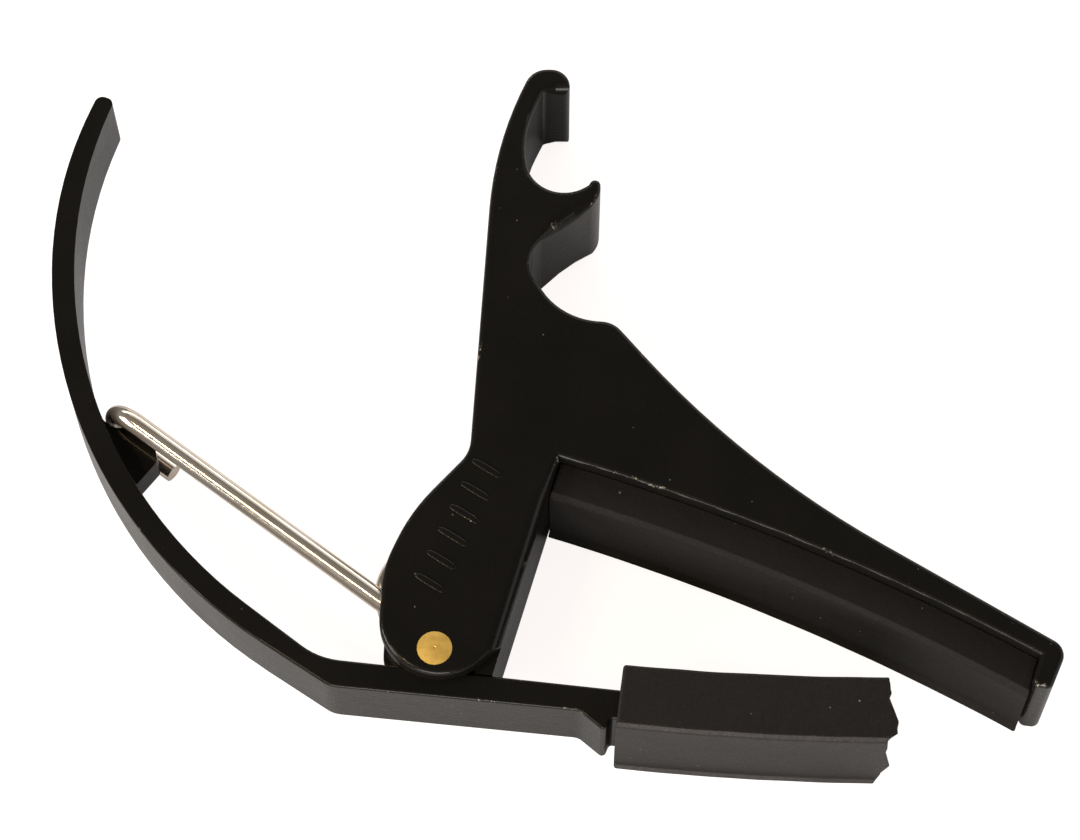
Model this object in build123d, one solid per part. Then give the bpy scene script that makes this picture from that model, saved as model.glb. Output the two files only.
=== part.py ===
from build123d import *
import math
import os

# Trigger capo for a guitar neck, with a bridge-pin puller on its handle.
# It lies on its side: X and Y span the side view, Z runs along the hinge, Z = 0 is the back face.
# Every outline is drawn about the hinge pin at (0, 0). The finished pieces are then moved so that
# the origin is under the middle of the whole object. Millimetres throughout.

# ---- widths along the hinge ----
FRAME_WIDTH = 16.0
MID_PLANE = FRAME_WIDTH / 2
EAR_THICKNESS = 2.2
SLOT_WIDTH = FRAME_WIDTH - 2 * EAR_THICKNESS
LEVER_WIDTH = 11.2
GRIP_TIP_WIDTH = 10.0
LUG_WIDTH = 4.2
PAD_WIDTH = 12.5
SLEEVE_WIDTH = 15.6

# ---- frame ----
FRAME_EDGE = 0.7
WALL_EDGE = 1.9
WALL_FOOT = (7.63, -2.0)
PRONG_EDGE = 1.9
PRONG_START = (21.02, 64.22)
PRONG_END = (13.6, 58.51)
CLAW_EDGE = 1.5
CLAW_START = (17.6, 81.35)
CLAW_END = (14.3, 81.35)
FINGERBOARD_CENTRE = (-79.7, -268.9)
FINGERBOARD_RADIUS = 304.8
PAD_DEPTH = 5.8
JAW_RADIUS = FINGERBOARD_RADIUS + PAD_DEPTH
JAW_START_X = 16.04
JAW_END_X = 77.2
PAD_START_X = 16.3
PAD_END_GAP = 0.15
PAD_START_SLANT = 1.6
PAD_BOTTOM_END_X = 74.95
RIB_WIDTH = 5.0
RIB_DEPTH = 2.4
RIB_INSET = 4.5

# ---- hinge ----
PIN_RADIUS = 2.25
PIN_CLEARANCE = 0.05
PIN_DOME = 0.25
DIMPLE_RADIUS = 0.2
PIN_RECESS = 0.1
BOSS_RADIUS = 3.4
STOP_GAP = 0.1

# ---- lever ----
LEVER_EDGE = 0.4
GRIP_CENTRE = (15.9, 58.3)
GRIP_INNER_RADIUS = 65.2
GRIP_OUTER_RADIUS = 68.3
TIP_OUTER_RADIUS = 60.3
BAR_TOP = -2.05
BAR_SLOPE = -0.114
SLEEVE_EDGE = 0.8

# ---- spring ----
WIRE_RADIUS = 1.35
COIL_CENTRE = (-1.649, 9.943)
COIL_RADIUS = 5.0
COIL_PITCH = 3.0
LEG_ANGLE = 142.66
LEG_LENGTH = 48.6
LEG_Z = 12.25
HOOK_RADIUS = 4.4
STUB_LENGTH = 5.2
SHORT_LEG_ANGLE = 75.0
SHORT_LEG_LENGTH = 7.0
COIL_ROOM = 0.35


def at_angle(centre, radius, degrees):
    """Point of the side view at an angle and distance from a centre."""
    turn = math.radians(degrees)
    return (centre[0] + radius * math.cos(turn), centre[1] + radius * math.sin(turn))


def arc_corner(centre, radius, start, end):
    """Corner whose rounding is the arc about a centre between two angles, in degrees."""
    half = math.radians(abs(end - start) / 2)
    return (*at_angle(centre, radius / math.cos(half), (start + end) / 2), radius)


def curve_point(radius, x):
    """Point at a given x on a curve about the fingerboard's centre."""
    rise = math.sqrt(radius**2 - (x - FINGERBOARD_CENTRE[0]) ** 2)
    return (x, FINGERBOARD_CENTRE[1] + rise)


def jaw_point(x):
    """Point of the jaw's underside at a given x."""
    return curve_point(JAW_RADIUS, x)


def fingerboard_angle(point):
    """Angle of a point about the fingerboard's centre, in degrees."""
    return math.degrees(math.atan2(point[1] - FINGERBOARD_CENTRE[1], point[0] - FINGERBOARD_CENTRE[0]))


def lever_top(x):
    """Height of the lever's straight upper edge."""
    return BAR_TOP + BAR_SLOPE * x


def outline(corners):
    """Closed outline of straight runs joined by tangent arcs; a corner is (x, y, radius)."""
    points = [Vector(x, y) for x, y, radius in corners]
    arcs = []
    for i, (x, y, radius) in enumerate(corners):
        here = points[i]
        into = (here - points[i - 1]).normalized()
        away = (points[(i + 1) % len(points)] - here).normalized()
        half = math.radians(into.get_angle(away)) / 2
        setback = radius * math.tan(half)
        bulge = radius / math.cos(half) - radius
        middle = here + (away - into).normalized() * bulge
        arcs.append((here - into * setback, middle, here + away * setback))
    edges = []
    for i, (start, middle, end) in enumerate(arcs):
        if corners[i][2] > 0:
            edges.append(ThreePointArc(start, middle, end))
        following = arcs[(i + 1) % len(arcs)][0]
        if (following - end).length > 1e-4:
            edges.append(Line(end, following))
    return Face(Wire(edges))


def slab(face, low, high):
    """Solid of a flat outline between two heights."""
    return Pos(0, 0, low) * extrude(face, high - low, dir=(0, 0, 1))


def disc(centre, radius, low, high):
    return Pos(centre[0], centre[1], (low + high) / 2) * Cylinder(radius, high - low)


def soften(solid, radius, low, high):
    """Round the rims of the two flat faces."""
    rim = []
    for edge in solid.edges():
        box = edge.bounding_box()
        if box.size.Z < 1e-4 and min(abs(box.min.Z - low), abs(box.min.Z - high)) < 1e-4:
            rim.append(edge)
    return fillet(rim, radius)


def frame_outline():
    """Handle with its pin puller, string jaw with its end lip, and the hinge lobe."""
    lobe = [(8.44, 0.75, 1.0), arc_corner((0.6, 4.25), 7.85, 312, 205), (-7.2, 2.65, 6.5)]
    handle = [(-6.9, 11.0, 16.0), (-3.4, 19.0, 26.0), (4.25, 27.4, 5.0)]
    horn = [
        arc_corner((62.84, 59.52), 56.4, 176.2, 155.5),
        arc_corner((14.4, 81.65), 3.15, 155.5, 90),
        arc_corner((14.95, 82.2), 2.6, 90, 0),
    ]
    claw = [(17.55, 81.35, 0.75), (13.95, 81.35, 0.7), (10.95, 74.7, 15.5), (12.72, 62.08, 5.2)]
    prong = [(20.05, 66.84, 0.8), arc_corner((20.9, 66.85), 0.75, 152, 0), (21.65, 64.7, 3.6)]
    finger_notch = [(12.8, 57.9, 4.4), (11.7, 54.4, 4.9), (16.4, 46.65, 9.5), (23.2, 46.3, 3.6)]
    spine = [(40.5, 25.25, 125.0)]
    lip = [(80.8, 0.16, 2.2), (78.4, -5.35, 1.0), (75.75, -5.0, 0.9)]
    end = jaw_point(JAW_END_X)
    start = jaw_point(JAW_START_X)
    curve = arc_corner(FINGERBOARD_CENTRE, JAW_RADIUS, fingerboard_angle(end), fingerboard_angle(start))
    jaw = [(*end, 0), curve, (*start, 0)]
    return outline(lobe + handle + horn + claw + prong + finger_notch + spine + lip + jaw)


def under_jaw(first, last, depth):
    """Outline of a strip under the jaw's curve, between two angles about the fingerboard."""
    inner = JAW_RADIUS - depth
    corners = [
        (*at_angle(FINGERBOARD_CENTRE, JAW_RADIUS, first), 0),
        arc_corner(FINGERBOARD_CENTRE, JAW_RADIUS, first, last),
        (*at_angle(FINGERBOARD_CENTRE, JAW_RADIUS, last), 0),
        (*at_angle(FINGERBOARD_CENTRE, inner, last), 0),
        arc_corner(FINGERBOARD_CENTRE, inner, last, first),
        (*at_angle(FINGERBOARD_CENTRE, inner, first), 0),
    ]
    return outline(corners)


def jaw_rib(length_trim):
    """Rib along the jaw that the string pad is pressed onto."""
    trim = math.degrees(length_trim / JAW_RADIUS)
    first = fingerboard_angle(jaw_point(PAD_START_X)) - trim
    last = fingerboard_angle(jaw_point(JAW_END_X)) + trim
    low = MID_PLANE - RIB_WIDTH / 2
    return slab(under_jaw(first, last, RIB_DEPTH), low, low + RIB_WIDTH)


def hinge_pocket():
    """Space between the ears: round for the coil, open at the back and bottom for the lever."""
    low = EAR_THICKNESS
    high = FRAME_WIDTH - EAR_THICKNESS
    room = COIL_RADIUS + WIRE_RADIUS + COIL_ROOM
    web_top = (COIL_CENTRE[0] + room, COIL_CENTRE[1], 0)
    left = (5.15, lever_top(5.15) + STOP_GAP, 0)
    right = (9.5, lever_top(9.5) + STOP_GAP, 0)
    web = [web_top, (4.9, -0.6, 0), left, right]
    open_side = outline([(-12, web_top[1], 0)] + web + [(9.5, -8, 0), (-12, -8, 0)])
    reach = SHORT_LEG_LENGTH + 0.5
    groove = Box(reach, 2 * WIRE_RADIUS + 0.2, SLOT_WIDTH)
    start = at_angle(COIL_CENTRE, COIL_RADIUS, SHORT_LEG_ANGLE - 90)
    groove = Pos(*start, MID_PLANE) * Rot(0, 0, SHORT_LEG_ANGLE) * Pos(reach / 2, 0, 0) * groove
    return disc(COIL_CENTRE, room, low, high) + slab(open_side, low, high) + groove


def web_foot():
    """Foot of the web between the ears, which the closed lever rests against."""
    right = (7.38, lever_top(7.38) + STOP_GAP, 0)
    left = (5.15, lever_top(5.15) + STOP_GAP, 0)
    foot = outline([right, (8.45, 0.8, 0), (4.85, 0.8, 0), left])
    return slab(foot, EAR_THICKNESS, FRAME_WIDTH - EAR_THICKNESS)


def rim_section(start, along, distance, radius):
    """Section of what a rounding takes off a wall's front rim, some way along the wall."""
    origin = Vector(*start, FRAME_WIDTH) + along * distance
    across = Vector(-along.Y, along.X, 0)
    middle = radius * (1 - math.sqrt(0.5))
    edges = Polyline((-radius, 0), (-radius, 0.5), (0.05, 0.5), (0.05, -radius), (0, -radius))
    edges = edges + ThreePointArc((0, -radius), (-middle, -middle), (-radius, 0))
    return Plane(origin=origin, x_dir=across, z_dir=along) * make_face(edges)


def rim_rounding(start, end, steps):
    """What larger roundings take off both rims of a straight wall; a step is (share, radius)."""
    run = Vector(end[0] - start[0], end[1] - start[1], 0)
    sections = [rim_section(start, run.normalized(), run.length * share, radius) for share, radius in steps]
    pieces = [loft([one, two]) for one, two in zip(sections, sections[1:])]
    front = pieces[0]
    for piece in pieces[1:]:
        front = front + piece
    return front + mirror(front, about=Plane.XY.offset(MID_PLANE))


def large_roundings():
    """The ears' right wall and the undersides of prong and claw have larger roundings."""
    down_wall = [(0, FRAME_EDGE), (0.2, WALL_EDGE), (1.2, WALL_EDGE)]
    along_prong = [(0, FRAME_EDGE), (0.35, PRONG_EDGE), (0.65, PRONG_EDGE), (1, FRAME_EDGE)]
    along_claw = [(0, CLAW_EDGE), (0.6, CLAW_EDGE), (1, FRAME_EDGE)]
    wall = rim_rounding(jaw_point(JAW_START_X), WALL_FOOT, down_wall)
    prong = rim_rounding(PRONG_START, PRONG_END, along_prong)
    return wall + prong + rim_rounding(CLAW_START, CLAW_END, along_claw)


def make_frame():
    body = soften(slab(frame_outline(), 0, FRAME_WIDTH), FRAME_EDGE, 0, FRAME_WIDTH)
    body = body - large_roundings() - hinge_pocket() + web_foot() + jaw_rib(RIB_INSET)
    return body - disc((0, 0), PIN_RADIUS, -1, FRAME_WIDTH + 1)


def make_string_pad():
    """Rubber pad under the jaw, grooved along its top for the rib."""
    top_left = jaw_point(PAD_START_X)
    top_right = jaw_point(JAW_END_X - PAD_END_GAP)
    bottom_left = curve_point(FINGERBOARD_RADIUS, PAD_START_X - PAD_START_SLANT)
    bottom_right = curve_point(FINGERBOARD_RADIUS, PAD_BOTTOM_END_X)
    top = [fingerboard_angle(top_left), fingerboard_angle(top_right)]
    bottom = [fingerboard_angle(bottom_right), fingerboard_angle(bottom_left)]
    shape = outline([
        (*top_left, 0),
        arc_corner(FINGERBOARD_CENTRE, JAW_RADIUS, *top),
        (*top_right, 0),
        (*bottom_right, 0),
        arc_corner(FINGERBOARD_CENTRE, FINGERBOARD_RADIUS, *bottom),
        (*bottom_left, 0),
    ])
    low = MID_PLANE - PAD_WIDTH / 2
    return slab(shape, low, low + PAD_WIDTH) - jaw_rib(RIB_INSET)


def lever_outline():
    """Curved grip, straight bar, hooked lip under it, and the tongue inside the sleeve."""
    bend = [(-14.94, -0.35, 10.0), arc_corner(GRIP_CENTRE, GRIP_INNER_RADIUS, 232, 160.5)]
    tip = [(-45.2, 81.35, 1.0), (-47.5, 82.25, 1.1)]
    back = [
        (-52.4, 69.7, TIP_OUTER_RADIUS),
        arc_corner(GRIP_CENTRE, GRIP_OUTER_RADIUS, 180, 236),
        (-13.5, -4.25, 4.0),
    ]
    hook = [(18.4, -7.55, 2.0), (21.7, -10.4, 0.6), (22.4, -8.6, 0.5)]
    tongue = [(40.0, -10.4, 250.0), (58.4, -10.3, 1.7), (58.4, -6.7, 1.7), (40.2, lever_top(40.2), 250.0)]
    return outline(bend + tip + back + hook + tongue)


def grip_taper():
    """Wedge that narrows the lever from the bar to the tip of its grip."""
    wide = LEVER_WIDTH / 2
    narrow = GRIP_TIP_WIDTH / 2
    points = [(-20, -wide), (0, -wide), (83, -narrow), (83, narrow), (0, wide), (-20, wide)]
    section = make_face(Plane.YZ * Polyline(*points, close=True))
    return Pos(-60, 0, MID_PLANE) * extrude(section, 130, dir=(1, 0, 0))


def hook_apex():
    """Middle of the wire where the hook turns back, in the side view."""
    start = at_angle(COIL_CENTRE, COIL_RADIUS, LEG_ANGLE + 90)
    return at_angle(start, LEG_LENGTH, LEG_ANGLE)


def make_lug():
    """Plate inside the grip, with the round seat that the spring's hook presses on."""
    low = MID_PLANE - LUG_WIDTH / 2
    root = GRIP_INNER_RADIUS + 1
    shape = outline([
        (*at_angle(GRIP_CENTRE, root, 200.5), 0),
        (*at_angle(hook_apex(), 1.0, LEG_ANGLE + 180), 0),
        (-37.6, 30.5, 1.0),
        (-37.2, 28.4, 0.8),
        (-39.6, 25.3, 0.3),
        (*at_angle(GRIP_CENTRE, root, 211), 0),
    ])
    lug = slab(shape, low, low + LUG_WIDTH)
    for back in (0, 0.9):
        lug = lug - disc(at_angle(hook_apex(), back, LEG_ANGLE + 180), WIRE_RADIUS + 0.3, 0, FRAME_WIDTH)
    return lug


def make_lever():
    low = MID_PLANE - LEVER_WIDTH / 2
    high = MID_PLANE + LEVER_WIDTH / 2
    body = soften(slab(lever_outline(), low, high), LEVER_EDGE, low, high) & grip_taper()
    boss = disc((0, 0), BOSS_RADIUS, low, high)
    sides = outline([(-BOSS_RADIUS, 0, 0), (BOSS_RADIUS, 0, 0), (4.2, -4, 0), (-4.6, -4, 0)])
    body = body + boss + slab(sides, low, high) + make_lug()
    return body - disc((0, 0), PIN_RADIUS + PIN_CLEARANCE, 0, FRAME_WIDTH)


def make_neck_sleeve():
    """Rubber tube over the lever's tongue."""
    low = MID_PLANE - SLEEVE_WIDTH / 2
    top = [(24.0, -2.1, 0), (40.0, -3.85, 280.0), (58.1, -3.85, 0)]
    bottom = [(57.6, -13.0, 0), (40.0, -12.75, 280.0), (22.9, -10.8, 0)]
    high = low + SLEEVE_WIDTH
    tube = soften(slab(outline(top + bottom), low, high), SLEEVE_EDGE, low, high)
    return tube - slab(lever_outline(), MID_PLANE - LEVER_WIDTH / 2, MID_PLANE + LEVER_WIDTH / 2)


def make_hinge_pin():
    """Brass pin through both ears, with a low dome and a small dimple on its front end."""
    top = FRAME_WIDTH + PIN_DOME
    foot = (PIN_RADIUS, PIN_RECESS)
    side = Polyline((0, top - DIMPLE_RADIUS), (0, PIN_RECESS), foot, (PIN_RADIUS, FRAME_WIDTH))
    shoulder = (PIN_RADIUS / 2, FRAME_WIDTH + 0.75 * PIN_DOME)
    dome = ThreePointArc((PIN_RADIUS, FRAME_WIDTH), shoulder, (DIMPLE_RADIUS, top))
    dimple = Line((DIMPLE_RADIUS, top), (0, top - DIMPLE_RADIUS))
    return revolve(Plane.XZ * make_face([side, dome, dimple]), Axis.Z)


def coil_curve():
    """Coil of the spring from the long leg round to the short leg, stepping back as it turns."""
    first = LEG_ANGLE + 90 - 360
    turned = 2 * 360 + (SHORT_LEG_ANGLE - 90 - first) % 360
    steps = round(turned / 24)
    points = []
    for i in range(steps + 1):
        share = i / steps
        eased = share - math.sin(2 * math.pi * share) / (2 * math.pi) * 0.25
        z = LEG_Z - COIL_PITCH * turned / 360 * eased
        points.append((*at_angle(COIL_CENTRE, COIL_RADIUS, first + turned * share), z))
    into = at_angle((0, 0), 1, LEG_ANGLE + 180)
    away = at_angle((0, 0), 1, SHORT_LEG_ANGLE)
    return Spline(*points, tangents=((*into, 0), (*away, 0)), tangent_scalars=(1, 1)), points[-1]


def make_spring():
    """One steel wire: stub and hook round the lug, long leg, coil, and short leg in its groove."""
    apex = (*hook_apex(), LEG_Z - HOOK_RADIUS)
    bend = at_angle(apex, HOOK_RADIUS, LEG_ANGLE + 180)
    stub = at_angle(bend, STUB_LENGTH, LEG_ANGLE + 180)
    tangent = at_angle(COIL_CENTRE, COIL_RADIUS, LEG_ANGLE + 90)
    back_z = LEG_Z - 2 * HOOK_RADIUS
    coil, last = coil_curve()
    short_end = at_angle(last, SHORT_LEG_LENGTH, SHORT_LEG_ANGLE)
    path = Wire([
        Line((*stub, back_z), (*bend, back_z)),
        ThreePointArc((*bend, back_z), apex, (*bend, LEG_Z)),
        Line((*bend, LEG_Z), (*tangent, LEG_Z)),
        coil,
        Line(last, (*short_end, last[2])),
    ])
    section = Plane(origin=(*stub, back_z), z_dir=(*at_angle((0, 0), 1, LEG_ANGLE), 0)) * Circle(WIRE_RADIUS)
    return sweep(section, path, is_frenet=True)


def main():
    pieces = {
        "frame": make_frame(),
        "string_pad": make_string_pad(),
        "hinge_pin": make_hinge_pin(),
        "lever": make_lever(),
        "neck_sleeve": make_neck_sleeve(),
        "torsion_spring": make_spring(),
    }
    boxes = [piece.bounding_box() for piece in pieces.values()]
    middle_x = (min(b.min.X for b in boxes) + max(b.max.X for b in boxes)) / 2
    middle_y = (min(b.min.Y for b in boxes) + max(b.max.Y for b in boxes)) / 2
    os.makedirs("parts", exist_ok=True)
    for name, piece in pieces.items():
        export_step(Pos(-middle_x, -middle_y, 0) * piece, f"parts/{name}.step")
    print("hinge pin at", round(-middle_x, 4), round(-middle_y, 4))
    print("coil at", round(COIL_CENTRE[0] - middle_x, 4), round(COIL_CENTRE[1] - middle_y, 4))


main()
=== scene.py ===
import math

import bmesh
import bpy
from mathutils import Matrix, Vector, noise


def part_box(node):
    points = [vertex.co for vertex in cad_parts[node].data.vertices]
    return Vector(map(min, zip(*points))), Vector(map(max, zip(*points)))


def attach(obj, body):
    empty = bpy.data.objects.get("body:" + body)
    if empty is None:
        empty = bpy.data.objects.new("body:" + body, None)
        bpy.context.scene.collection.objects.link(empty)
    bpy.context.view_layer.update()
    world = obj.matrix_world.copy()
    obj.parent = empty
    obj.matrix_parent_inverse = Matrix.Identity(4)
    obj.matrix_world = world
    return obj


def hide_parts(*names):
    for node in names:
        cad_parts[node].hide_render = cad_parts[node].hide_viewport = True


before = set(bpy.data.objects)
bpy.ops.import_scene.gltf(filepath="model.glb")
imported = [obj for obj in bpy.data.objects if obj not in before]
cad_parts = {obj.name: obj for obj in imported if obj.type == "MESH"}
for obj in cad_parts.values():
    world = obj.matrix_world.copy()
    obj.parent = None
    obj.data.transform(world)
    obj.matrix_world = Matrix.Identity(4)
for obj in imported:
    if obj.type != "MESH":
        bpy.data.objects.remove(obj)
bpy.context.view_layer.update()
# the shifts that noise_vector gives follow this seed
noise.seed_set(1)

MM = 0.001
# the hinge pin's axis; every measure below is taken from it, in millimetres
pin_low, pin_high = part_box("hinge_pin")
PIN = (Vector(pin_low) + Vector(pin_high)) / 2
PIN.z = 0


def at(x, y, z):
    """A point given in millimetres from the hinge pin, in the frame's metres."""
    return PIN + Vector((x, y, z)) * MM


# ---------------------------------------------------------------- materials

CASTING_TINT = (1.0, 0.90, 0.86, 1)
RUBBER_TINT = (1.0, 0.90, 0.85, 1)
TABLE_GLOW = (1.0, 0.955, 0.935, 1)
# colour of the chips on the rims, made light enough to be painted rim highlight as well as worn paint
CHIP_AND_HIGHLIGHT = (0.30, 0.25, 0.19)
CASTING_DUST = (0.10, 0.095, 0.09)
RUBBER_DUST = (0.17, 0.16, 0.15)
# the rims are where a normal's Z share is about this
RIM_SLANT = 0.62
# dust lies as dots in this share of the cells of a cell pattern
DUST_FROM = 0.93
DUST_FULL = 0.94


class Nodes:
    """A material's node tree, with short calls for the nodes used here."""

    def __init__(self, name):
        self.material = bpy.data.materials.new(name)
        self.material.use_nodes = True
        self.tree = self.material.node_tree
        self.shader = self.tree.nodes["Principled BSDF"]
        self.place = self.tree.nodes.new("ShaderNodeTexCoord").outputs["Object"]
        self.geometry = self.tree.nodes.new("ShaderNodeNewGeometry")

    def link(self, source, target):
        self.tree.links.new(source, target)

    def set(self, **values):
        """Uniform values on the shader; an underscore stands for a space in a socket's name."""
        for key, value in values.items():
            self.shader.inputs[key.replace("_", " ")].default_value = value

    def noise(self, scale, detail=2.0, rough=0.5):
        node = self.tree.nodes.new("ShaderNodeTexNoise")
        node.inputs["Scale"].default_value = scale
        node.inputs["Detail"].default_value = detail
        node.inputs["Roughness"].default_value = rough
        self.link(self.place, node.inputs["Vector"])
        return node.outputs["Fac"]

    def ramp(self, fac, low, high, start=0.0, end=1.0):
        """fac stretched so that low gives start and high gives end."""
        node = self.tree.nodes.new("ShaderNodeMapRange")
        node.inputs["From Min"].default_value = low
        node.inputs["From Max"].default_value = high
        node.inputs["To Min"].default_value = start
        node.inputs["To Max"].default_value = end
        self.link(fac, node.inputs["Value"])
        return node.outputs["Result"]

    def math(self, operation, a, b):
        node = self.tree.nodes.new("ShaderNodeMath")
        node.operation = operation
        for socket, value in zip(node.inputs, (a, b)):
            if isinstance(value, (int, float)):
                socket.default_value = value
            else:
                self.link(value, socket)
        return node.outputs["Value"]

    def mix(self, fac, a, b):
        node = self.tree.nodes.new("ShaderNodeMix")
        node.data_type = "RGBA"
        self.link(fac, node.inputs["Factor"])
        for socket, value in zip((node.inputs[6], node.inputs[7]), (a, b)):
            if isinstance(value, tuple):
                socket.default_value = (*value, 1)
            else:
                self.link(value, socket)
        return node.outputs[2]

    def specks(self, scale, size):
        """1 inside small scattered dots, 0 elsewhere."""
        node = self.tree.nodes.new("ShaderNodeTexVoronoi")
        node.inputs["Scale"].default_value = scale
        self.link(self.place, node.inputs["Vector"])
        near = self.ramp(node.outputs["Distance"], size, size * 0.6)
        chosen = self.tree.nodes.new("ShaderNodeSeparateColor")
        self.link(node.outputs["Color"], chosen.inputs["Color"])
        return self.math("MULTIPLY", near, self.ramp(chosen.outputs["Red"], DUST_FROM, DUST_FULL))

    def normal_z(self):
        """How squarely the surface faces up or down, 0 to 1."""
        split = self.tree.nodes.new("ShaderNodeSeparateXYZ")
        self.link(self.geometry.outputs["Normal"], split.inputs["Vector"])
        return self.math("ABSOLUTE", split.outputs["Z"], 0)

    def bump(self, height, distance):
        node = self.tree.nodes.new("ShaderNodeBump")
        node.inputs["Distance"].default_value = distance
        self.link(height, node.inputs["Height"])
        self.link(node.outputs["Normal"], self.shader.inputs["Normal"])


def casting_material():
    """Satin black coating on a casting: fine grain, faint cloudiness, and light chips on the rims that are
    partly wear and partly painted highlight.
    """
    n = Nodes("satin_black_casting")
    n.set(Metallic=0.0, IOR=1.2, Coat_Weight=0.2, Coat_Roughness=0.12, Coat_IOR=1.5)
    n.set(Specular_Tint=CASTING_TINT)
    cloud = n.noise(90, 4)
    grain = n.noise(2600, 3, 0.6)
    base = n.mix(cloud, (0.0058, 0.0052, 0.0043), (0.0092, 0.0081, 0.0067))
    slant = n.math("ABSOLUTE", n.math("SUBTRACT", n.normal_z(), RIM_SLANT), 0)
    rim = n.ramp(slant, 0.34, 0.26)
    patch = n.ramp(n.noise(260, 3), 0.58, 0.64)
    nick = n.ramp(n.noise(1500, 4, 0.7), 0.56, 0.62)
    # chips on the rims: worn paint, lightened so they also stand in as painted highlights along the edges
    chip_and_highlight = n.math("MULTIPLY", n.math("MULTIPLY", rim, patch), nick)
    dust = n.specks(850, 0.12)
    colour = n.mix(chip_and_highlight, base, CHIP_AND_HIGHLIGHT)
    n.link(n.mix(dust, colour, CASTING_DUST), n.shader.inputs["Base Color"])
    rough = n.math("ADD", n.ramp(cloud, 0.3, 0.7, 0.26, 0.33), n.ramp(grain, 0.3, 0.7, -0.03, 0.04))
    n.link(rough, n.shader.inputs["Roughness"])
    n.bump(n.math("ADD", grain, n.math("MULTIPLY", n.noise(700, 3), 0.6)), 0.00005)
    return n.material


def rubber_material(name, ior, tone, rough):
    """Matte black rubber with faint mottling and a few dust specks."""
    n = Nodes(name)
    n.set(Metallic=0.0, IOR=ior, Specular_Tint=RUBBER_TINT)
    cloud = n.noise(120, 4)
    grain = n.noise(3200, 3, 0.65)
    dark = tuple(tone * share for share in (0.80, 0.69, 0.56))
    light = tuple(tone * share for share in (1.20, 1.05, 0.86))
    base = n.mix(cloud, dark, light)
    dust = n.specks(800, 0.13)
    n.link(n.mix(dust, base, RUBBER_DUST), n.shader.inputs["Base Color"])
    n.link(n.ramp(grain, 0.3, 0.7, rough - 0.07, rough + 0.07), n.shader.inputs["Roughness"])
    n.bump(n.math("ADD", grain, n.math("MULTIPLY", n.noise(500, 3), 1.2)), 0.00006)
    return n.material


def wire_material():
    """Bright nickel plate on drawn wire, yellowed in places, with fine marks along it."""
    n = Nodes("bright_nickel_wire")
    n.set(Metallic=0.86)
    streak = n.noise(900, 4, 0.6)
    tone = n.mix(n.ramp(n.noise(150, 3), 0.35, 0.65), (0.82, 0.69, 0.55), (0.93, 0.83, 0.72))
    n.link(tone, n.shader.inputs["Base Color"])
    n.link(n.ramp(streak, 0.35, 0.65, 0.12, 0.16), n.shader.inputs["Roughness"])
    n.bump(streak, 0.000001)
    return n.material


def brass_material():
    """Brushed brass with slight tarnish, a little milky where it's worn."""
    n = Nodes("brushed_brass")
    n.set(Metallic=0.45)
    tarnish = n.ramp(n.noise(700, 4, 0.6), 0.42, 0.74)
    n.link(n.mix(tarnish, (0.80, 0.50, 0.11), (0.63, 0.36, 0.07)), n.shader.inputs["Base Color"])
    n.link(n.ramp(n.noise(1600, 3), 0.3, 0.7, 0.42, 0.56), n.shader.inputs["Roughness"])
    n.bump(n.noise(1500, 3), 0.00003)
    return n.material


def floor_material():
    """White table top that glows a little; what mirrors it sees it dimmer, and painted shade darkens its
    glow in the gaps.
    """
    n = Nodes("white_table")
    n.set(Specular_IOR_Level=0.0, Roughness=0.9, Emission_Color=TABLE_GLOW)
    tone = n.mix(n.noise(3, 2), (0.34, 0.34, 0.338), (0.36, 0.36, 0.358))
    n.link(tone, n.shader.inputs["Base Color"])
    # ambient occlusion darkens the glow as painted shade: strongly for what mirrors the table, slightly
    # where the camera sees it near the object
    shade = n.tree.nodes.new("ShaderNodeAmbientOcclusion")
    shade.inputs["Distance"].default_value = 0.022
    seen = n.tree.nodes.new("ShaderNodeLightPath").outputs["Is Camera Ray"]
    dimmed = n.ramp(shade.outputs["AO"], 0.15, 1.0, 0.02, 0.62)
    bright = n.ramp(shade.outputs["AO"], 0.2, 0.9, 0.93, 1.0)
    direct = n.math("MULTIPLY", seen, bright)
    mirrored = n.math("MULTIPLY", n.math("SUBTRACT", 1.0, seen), dimmed)
    n.link(n.math("ADD", direct, mirrored), n.shader.inputs["Emission Strength"])
    return n.material


casting = casting_material()
pad_rubber = rubber_material("matte_black_pad_rubber", 1.36, 0.0042, 0.74)
sleeve_rubber = rubber_material("matte_black_sleeve_rubber", 1.48, 0.0036, 0.52)
wire = wire_material()
brass = brass_material()

for node, material in {
    "frame": casting, "lever": casting, "torsion_spring": wire, "hinge_pin": brass,
    "string_pad": pad_rubber, "neck_sleeve": sleeve_rubber,
}.items():
    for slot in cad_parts[node].material_slots:
        slot.material = material


# ---------------------------------------------------------------- rubber pieces

MID_PLANE = 8.0
CORNER_STEPS = 5
SIDE_STEPS = 26
CAP_STEPS = 5
SMALLEST_EDGE = 0.15
WAVE_SIZE = 6.0


def between(a, b, share):
    return a + (b - a) * share


def limited(value):
    """The value kept from 0 to 1."""
    return max(0.0, min(1.0, value))


def rounded_section(thickness, width, radius):
    """Rounded rectangle as (depth below the top, place across) points, going round once."""
    half = width / 2
    corners = [
        (radius, half - radius, 90), (radius, radius - half, 180),
        (thickness - radius, radius - half, 270), (thickness - radius, half - radius, 0),
    ]

    def on_corner(corner, degrees):
        depth, across, start = corner
        turn = math.radians(start + degrees)
        return (depth - radius * math.cos(turn - math.pi / 2), across + radius * math.sin(turn))

    points = []
    for i, corner in enumerate(corners):
        points += [on_corner(corner, 90 * k / CORNER_STEPS) for k in range(CORNER_STEPS + 1)]
        here = points[-1]
        there = on_corner(corners[(i + 1) % len(corners)], 0)
        for k in range(1, SIDE_STEPS):
            share = k / SIDE_STEPS
            points.append((between(here[0], there[0], share), between(here[1], there[1], share)))
    return points


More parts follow.
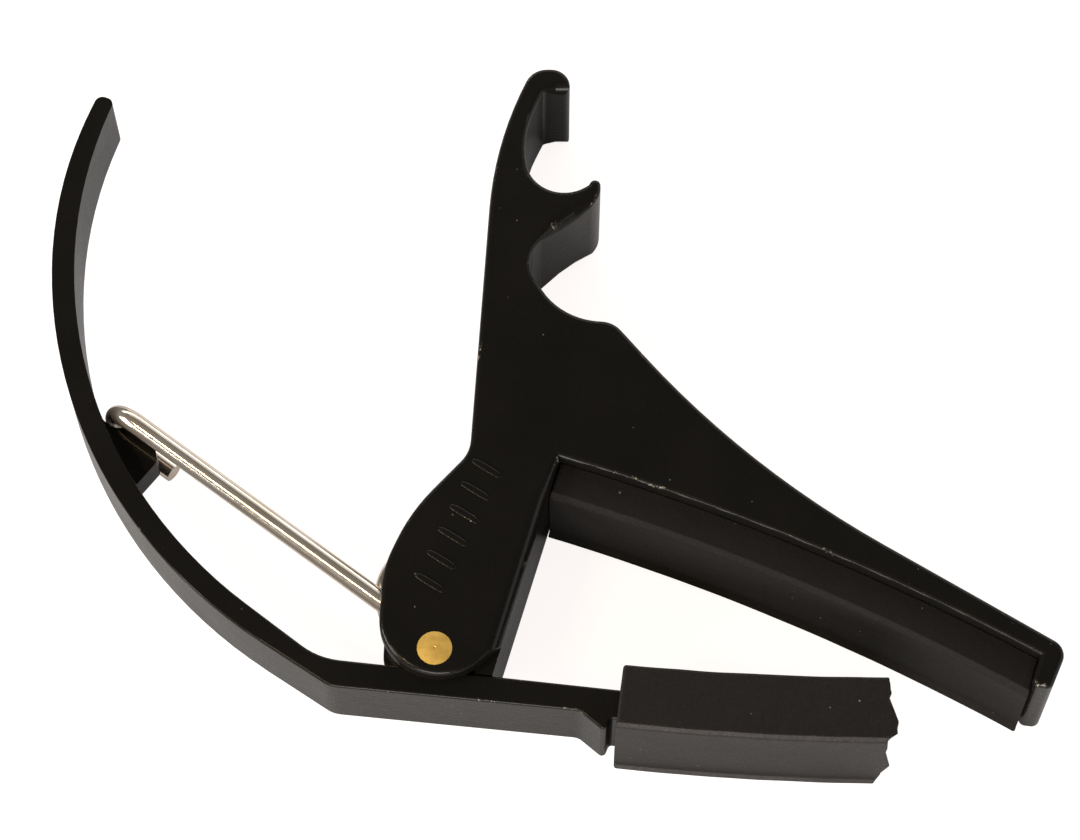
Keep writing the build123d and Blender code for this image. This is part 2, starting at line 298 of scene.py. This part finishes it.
def cap_rings(upper, lower, outward, radius):
    """The rings that round one end: its two points, how far each is drawn in, and its shift."""
    caps = []
    for k in range(1, CAP_STEPS + 1):
        turn = math.radians(90 * k / CAP_STEPS)
        inset = radius * (1 - math.cos(turn))
        caps.append((upper, lower, inset, outward * radius * (math.sin(turn) - 1)))
    return caps


def ring_points(upper, lower, inset, shift, width, edge):
    """Points of one ring, from the top point down to the lower one, drawn in by inset."""
    down = lower - upper
    thickness = down.length
    down.normalize()
    radius = max(edge - inset, SMALLEST_EDGE)
    section = rounded_section(thickness - 2 * inset, width - 2 * inset, radius)
    start = upper + shift
    return [start + down * (depth + inset) + Vector((0, 0, MID_PLANE + across)) for depth, across in section]


def block_rings(top, bottom, steps, width, edge, ends):
    """Rings of a moulded block between two curves, each a function of the share of its length.

    ends are the radii that round its two ends.
    """
    pairs = [(Vector((*top(i / steps), 0)), Vector((*bottom(i / steps), 0))) for i in range(steps + 1)]
    middles = [(upper + lower) / 2 for upper, lower in pairs]
    start_way = (middles[0] - middles[1]).normalized()
    end_way = (middles[-1] - middles[-2]).normalized()
    made = [(upper, lower, 0.0, Vector((0, 0, 0))) for upper, lower in pairs]
    made[0] = (*pairs[0], 0.0, -start_way * ends[0])
    made[-1] = (*pairs[-1], 0.0, -end_way * ends[1])
    made = list(reversed(cap_rings(*pairs[0], start_way, ends[0]))) + made
    made += cap_rings(*pairs[-1], end_way, ends[1])
    return [ring_points(*ring, width, edge) for ring in made]


def soften_by_hand(rings, amount):
    """Shift every point a little, the same way each run, as worn rubber is never quite flat."""
    for ring in rings:
        for i, point in enumerate(ring):
            ring[i] = point + noise.noise_vector(point / WAVE_SIZE) * amount


def put_mesh(name, rings, material):
    """Mesh object through rings of equally many points, capped at both ends."""
    mesh = bmesh.new()
    made = [[mesh.verts.new(at(*point)) for point in ring] for ring in rings]
    count = len(made[0])
    for one, two in zip(made, made[1:]):
        for i in range(count):
            j = (i + 1) % count
            mesh.faces.new((one[i], one[j], two[j], two[i]))
    mesh.faces.new(reversed(made[0]))
    mesh.faces.new(made[-1])
    bmesh.ops.recalc_face_normals(mesh, faces=mesh.faces)
    data = bpy.data.meshes.new(name)
    mesh.to_mesh(data)
    mesh.free()
    for polygon in data.polygons:
        polygon.use_smooth = True
    data.materials.append(material)
    piece = bpy.data.objects.new(name, data)
    bpy.context.collection.objects.link(piece)
    return piece


# the pad's two faces are arcs about the middle of the fingerboard's curve
FINGERBOARD_CENTRE = (-79.7, -268.9)
JAW_RADIUS = 310.6
PAD_FACE_RADIUS = 304.8
PAD_GAP = 0.03


def on_arc(radius, x):
    rise = math.sqrt(radius**2 - (x - FINGERBOARD_CENTRE[0]) ** 2)
    return (x, FINGERBOARD_CENTRE[1] + rise)


def make_pad():
    """Rubber pad under the jaw, with softened edges."""
    rings = block_rings(
        lambda share: on_arc(JAW_RADIUS - PAD_GAP, between(16.2, 77.15, share)),
        lambda share: on_arc(PAD_FACE_RADIUS, between(14.5, 75.3, share)),
        steps=70, width=12.4, edge=0.7, ends=(0.15, 0.3))
    soften_by_hand(rings, 0.03)
    piece = put_mesh("string_pad_rubber", rings, pad_rubber)
    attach(piece, "frame_body")
    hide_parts("string_pad")


def curve_through(start, middle, end):
    """Smooth curve from start to end, pulled towards the middle point."""
    def place(share):
        one = (1 - share) ** 2
        two = 2 * share * (1 - share)
        three = share**2
        return tuple(one * a + two * b + three * c for a, b, c in zip(start, middle, end))
    return place


# how far the torn end reaches at shares of the sleeve's depth, along its front face
TORN_FRONT = (
    (0, 0.1), (0.13, 0.35), (0.35, 0.0), (0.48, 0.5), (0.63, 1.1), (0.83, 0.8), (0.93, -0.2), (1, -0.3),
)
# and at heights above the flat side, along its underside
TORN_UNDER = ((0, -0.7), (5.2, -0.45), (5.8, 1.0), (6.4, 1.0), (6.9, -0.5), (11, -0.4), (16, -0.3))
TORN_FROM_X = 53.5
TORN_RUN = 4.0
SLEEVE_TOP = -3.9
SLEEVE_DEPTH = 9.05
# the underside's tear takes over from this share of the depth
UNDER_FROM = 0.82
# the front face's tear fades towards the flat side over these heights
FRONT_TEAR_FROM_Z = 4
FRONT_TEAR_RUN = 9
FRAYED = 0.3
FRAY_SIZE = 0.9
SAG = 0.12


def along_line(line, place):
    """Value at a place on a broken line of (place, value) points."""
    for (a, low_value), (b, high_value) in zip(line, line[1:]):
        if place <= b:
            return between(low_value, high_value, (place - a) / (b - a))
    return line[-1][1]


def tear_end(rings):
    """Pull the sleeve's outer end out of line: a ragged edge, and a slight sag of its faces."""
    for ring in rings:
        for point in ring:
            reach = limited((point.x - TORN_FROM_X) / TORN_RUN)
            depth = limited((SLEEVE_TOP - point.y) / SLEEVE_DEPTH)
            front = along_line(TORN_FRONT, depth) * limited((point.z - FRONT_TEAR_FROM_Z) / FRONT_TEAR_RUN)
            under = along_line(TORN_UNDER, point.z)
            low_part = limited((depth - UNDER_FROM) / (1 - UNDER_FROM))
            ragged = between(front, under, low_part) + FRAYED * noise.noise(point / FRAY_SIZE)
            point.x += ragged * reach
            point.y -= SAG * math.sin(math.pi * depth) * reach


def make_sleeve():
    """Rubber sleeve on the lever's tongue, with soft edges and a torn outer end."""
    top = curve_through((24.05, -2.15), (40, -3.75), (57.8, SLEEVE_TOP))
    bottom = curve_through((22.95, -10.85), (40, -12.8), (57.6, SLEEVE_TOP - SLEEVE_DEPTH))
    rings = block_rings(top, bottom, steps=46, width=15.5, edge=0.5, ends=(0.4, 0.3))
    tear_end(rings)
    soften_by_hand(rings, 0.09)
    piece = put_mesh("neck_sleeve_rubber", rings, sleeve_rubber)
    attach(piece, "lever_body")
    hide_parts("neck_sleeve")


make_pad()
make_sleeve()


# ---------------------------------------------------------------- plain ribs on the front ear

RIB_COUNT = 6
RIB_HEIGHT = 0.22
RIB_LENGTH = 4.6
RIB_BREADTH = 1.0
RIB_HEADING = math.radians(-33)
RIB_FIRST = Vector((-0.7, 8.9))
RIB_LAST = Vector((6.5, 24.9))
# the ribs' feet are sunk a little into the ear's front face
FRONT_FACE = 16.0
RIB_SUNK = 0.03
LENGTH_STEPS = 24
ARCH_STEPS = 12
END_BLUNTNESS = 3.5
TOP_BLUNTNESS = 0.6
TIP_SHARE = 0.02


def rib_ring(middle, share):
    """Arch across a rib at a share of its half length, -1 to 1, slimmer towards its ends."""
    along = Vector((math.cos(RIB_HEADING), math.sin(RIB_HEADING)))
    side = Vector((-along.y, along.x))
    swell = math.sqrt(max(0.0, 1 - abs(share) ** END_BLUNTNESS)) + TIP_SHARE
    ring = []
    for j in range(ARCH_STEPS + 1):
        turn = math.pi * j / ARCH_STEPS
        across = math.cos(turn) * RIB_BREADTH / 2 * swell
        height = math.sin(turn) ** TOP_BLUNTNESS * RIB_HEIGHT * min(1.0, swell)
        place = middle + along * (share * RIB_LENGTH / 2) + side * across
        ring.append(Vector((place.x, place.y, FRONT_FACE - RIB_SUNK + height)))
    return ring


def make_ribs():
    """Six short plain ribs in a row up the ear, low and round-topped like the casting's edges."""
    for i in range(RIB_COUNT):
        middle = RIB_FIRST.lerp(RIB_LAST, i / (RIB_COUNT - 1))
        rings = [rib_ring(middle, -1 + 2 * k / LENGTH_STEPS) for k in range(LENGTH_STEPS + 1)]
        piece = put_mesh(f"ear_rib_{i + 1}", rings, casting)
        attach(piece, "frame_body")


make_ribs()


# ---------------------------------------------------------------- stage, light and camera

FLOOR_SIZE = 6
FLOOR_DROP = 0.00005

bpy.ops.mesh.primitive_plane_add(size=FLOOR_SIZE, location=(0, 0, -FLOOR_DROP))
floor = bpy.context.object
floor.name = "table_top"
floor.data.materials.append(floor_material())


def area_light(name, power, size, place, colour=(1, 1, 1)):
    """Rectangular light at a place, turned to the middle of the object."""
    data = bpy.data.lights.new(name, "AREA")
    data.shape = "RECTANGLE"
    data.size, data.size_y = size
    data.energy = power
    data.color = colour
    light = bpy.data.objects.new(name, data)
    light.location = place
    light.rotation_euler = (-Vector(place)).to_track_quat("-Z", "Y").to_euler()
    bpy.context.collection.objects.link(light)


area_light("front_panel", 12.0, (0.8, 0.4), (-0.2, -1.1, 0.42))
area_light("back_panel", 4.0, (1.6, 0.35), (0, 1.1, 0.42))
area_light("left_panel", 12.0, (0.7, 0.4), (-1.1, -0.2, 0.42))
area_light("right_panel", 3.0, (1.6, 0.5), (1.1, 0, 0.42))
area_light("top_panel", 1.3, (1.4, 0.45), (0.25, 0.85, 0.70))
area_light("warm_strip", 3.5, (0.5, 0.06), (-0.62, -0.33, 0.92), (1.0, 0.80, 0.50))

world = bpy.data.worlds.new("studio")
world.use_nodes = True
background = world.node_tree.nodes["Background"]
background.inputs["Color"].default_value = (1, 1, 1, 1)
background.inputs["Strength"].default_value = 0.08
bpy.context.scene.world = world

# the camera looks down at the capo as in the photo, from in front of its lower side
CAMERA_TILT = math.radians(24)
camera_data = bpy.data.cameras.new("camera")
camera_data.sensor_width = 36
camera_data.lens = 114.33
camera_data.clip_start = 0.01
camera_data.clip_end = 20
camera = bpy.data.objects.new("camera", camera_data)
camera.location = at(13.44, -151.19, 426.98)
camera.rotation_euler = (CAMERA_TILT, 0, 0)
bpy.context.collection.objects.link(camera)
bpy.context.scene.camera = camera
bpy.context.scene.view_settings.view_transform = "Standard"
